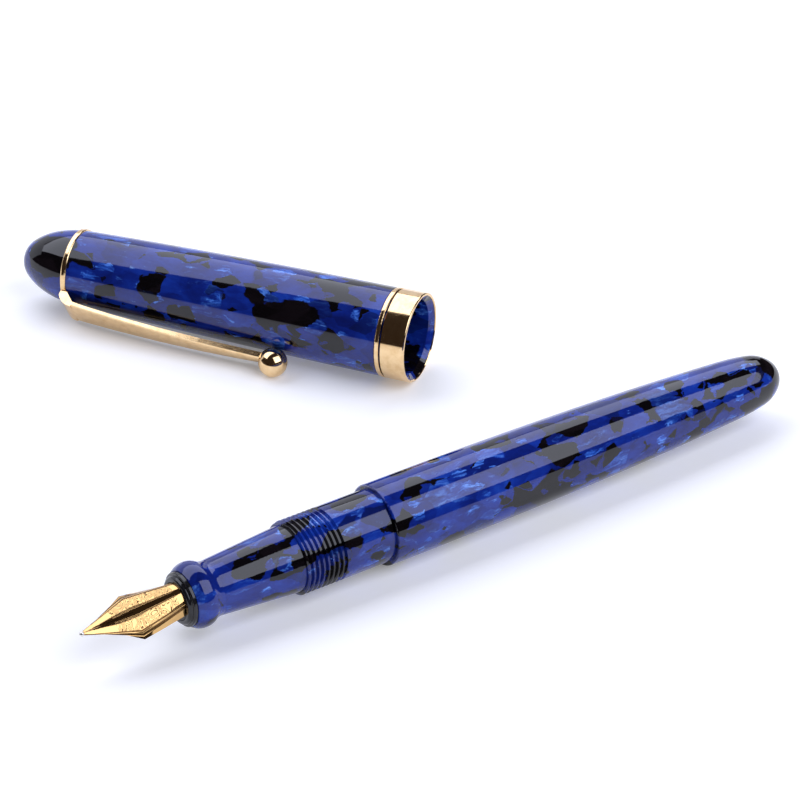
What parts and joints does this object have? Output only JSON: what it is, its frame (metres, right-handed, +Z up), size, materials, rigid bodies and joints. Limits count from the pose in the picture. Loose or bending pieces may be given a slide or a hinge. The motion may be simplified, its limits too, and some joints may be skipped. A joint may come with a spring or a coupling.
{
  "type": "fountain pen",
  "caption": "Uncapped fountain pen in marbled blue acrylic with a gold nib, lying beside its screw cap with gold bands and a ball-ended clip; screw-in nib unit and piston converter inside.",
  "frame": {"origin": "on the table, under the middle of the pen and cap as they lie", "axes": "+X along the pen from the nib to the tail, +Y towards the cap, +Z up from the table"},
  "size_m": [0.13, 0.107, 0.0151],
  "materials": {
    "acrylic": "marbled acrylic, polished",
    "black_resin": "polished black resin",
    "feed_resin": "fine matt black resin",
    "gold_trim": "pale gold plate, polished",
    "nib_gold": "yellow gold, polished and engraved",
    "hard_point": "polished hard metal",
    "clear_resin": "clear plastic",
    "converter_metal": "polished nickel plate",
    "seal_resin": "white seal",
    "rod_resin": "white plastic"
  },
  "bodies": {
    "barrel": {"barrel": "acrylic"},
    "section": {"section": "acrylic"},
    "nib_housing": {"nib_housing": "black_resin"},
    "nib": {"nib": "nib_gold", "nib_tipping": "hard_point", "feed": "feed_resin"},
    "converter": {"converter_tube": "clear_resin", "converter_sleeve": "converter_metal", "rod_guide": "rod_resin", "converter_collar": "converter_metal"},
    "piston": {"piston_rod": "rod_resin", "piston_seal": "seal_resin"},
    "knob": {"converter_knob": "black_resin"},
    "cap": {"cap_shell": "acrylic", "cap_finial": "acrylic", "clip_ring": "gold_trim", "inner_cap": "black_resin", "cap_trim_ring": "gold_trim", "cap_band": "gold_trim"},
    "clip": {"clip_arm": "gold_trim", "clip_ball": "gold_trim"}
  },
  "joints": [
    {"name": "section_draw", "type": "slide", "parent": "barrel", "child": "section", "axis": [-1, 0, 0], "range_m": [0, 0.065]},
    {"name": "nib_unit_out", "type": "slide", "parent": "section", "child": "nib_housing", "axis": [-1, 0, 0], "range_m": [0, 0.007]},
    {"name": "nib_unit_turn", "type": "hinge", "parent": "nib_housing", "child": "nib", "pos_m": [-0.04809, -0.04698, 0.0065], "axis": [-1, 0, 0], "range_deg": [0, 3800]},
    {"name": "converter_pull", "type": "slide", "parent": "section", "child": "converter", "axis": [1, 0, 0], "range_m": [0, 0.012]},
    {"name": "knob_turn", "type": "hinge", "parent": "converter", "child": "knob", "pos_m": [0.02491, -0.04698, 0.0065], "axis": [-1, 0, 0], "range_deg": [0, 3050]},
    {"name": "piston_stroke", "type": "slide", "parent": "converter", "child": "piston", "axis": [1, 0, 0], "range_m": [0, 0.02]},
    {"name": "cap_lift", "type": "slide", "parent": "barrel", "child": "cap", "axis": [0, 0, 1], "range_m": [0, 0.06]},
    {"name": "clip_flex", "type": "hinge", "parent": "cap", "child": "clip", "pos_m": [-0.01639, 0.0413, 0.00397], "axis": [0.4293, 0.2859, -0.8567], "range_deg": [0, 3.5], "stiffness_Nm_per_rad": 2, "springref_deg": -1.15}
  ],
  "couplings": [
    {"joint": "nib_unit_turn", "follows": "nib_unit_out", "rad_per_m": 8976},
    {"joint": "knob_turn", "follows": "piston_stroke", "rad_per_m": 2513.3}
  ]
}
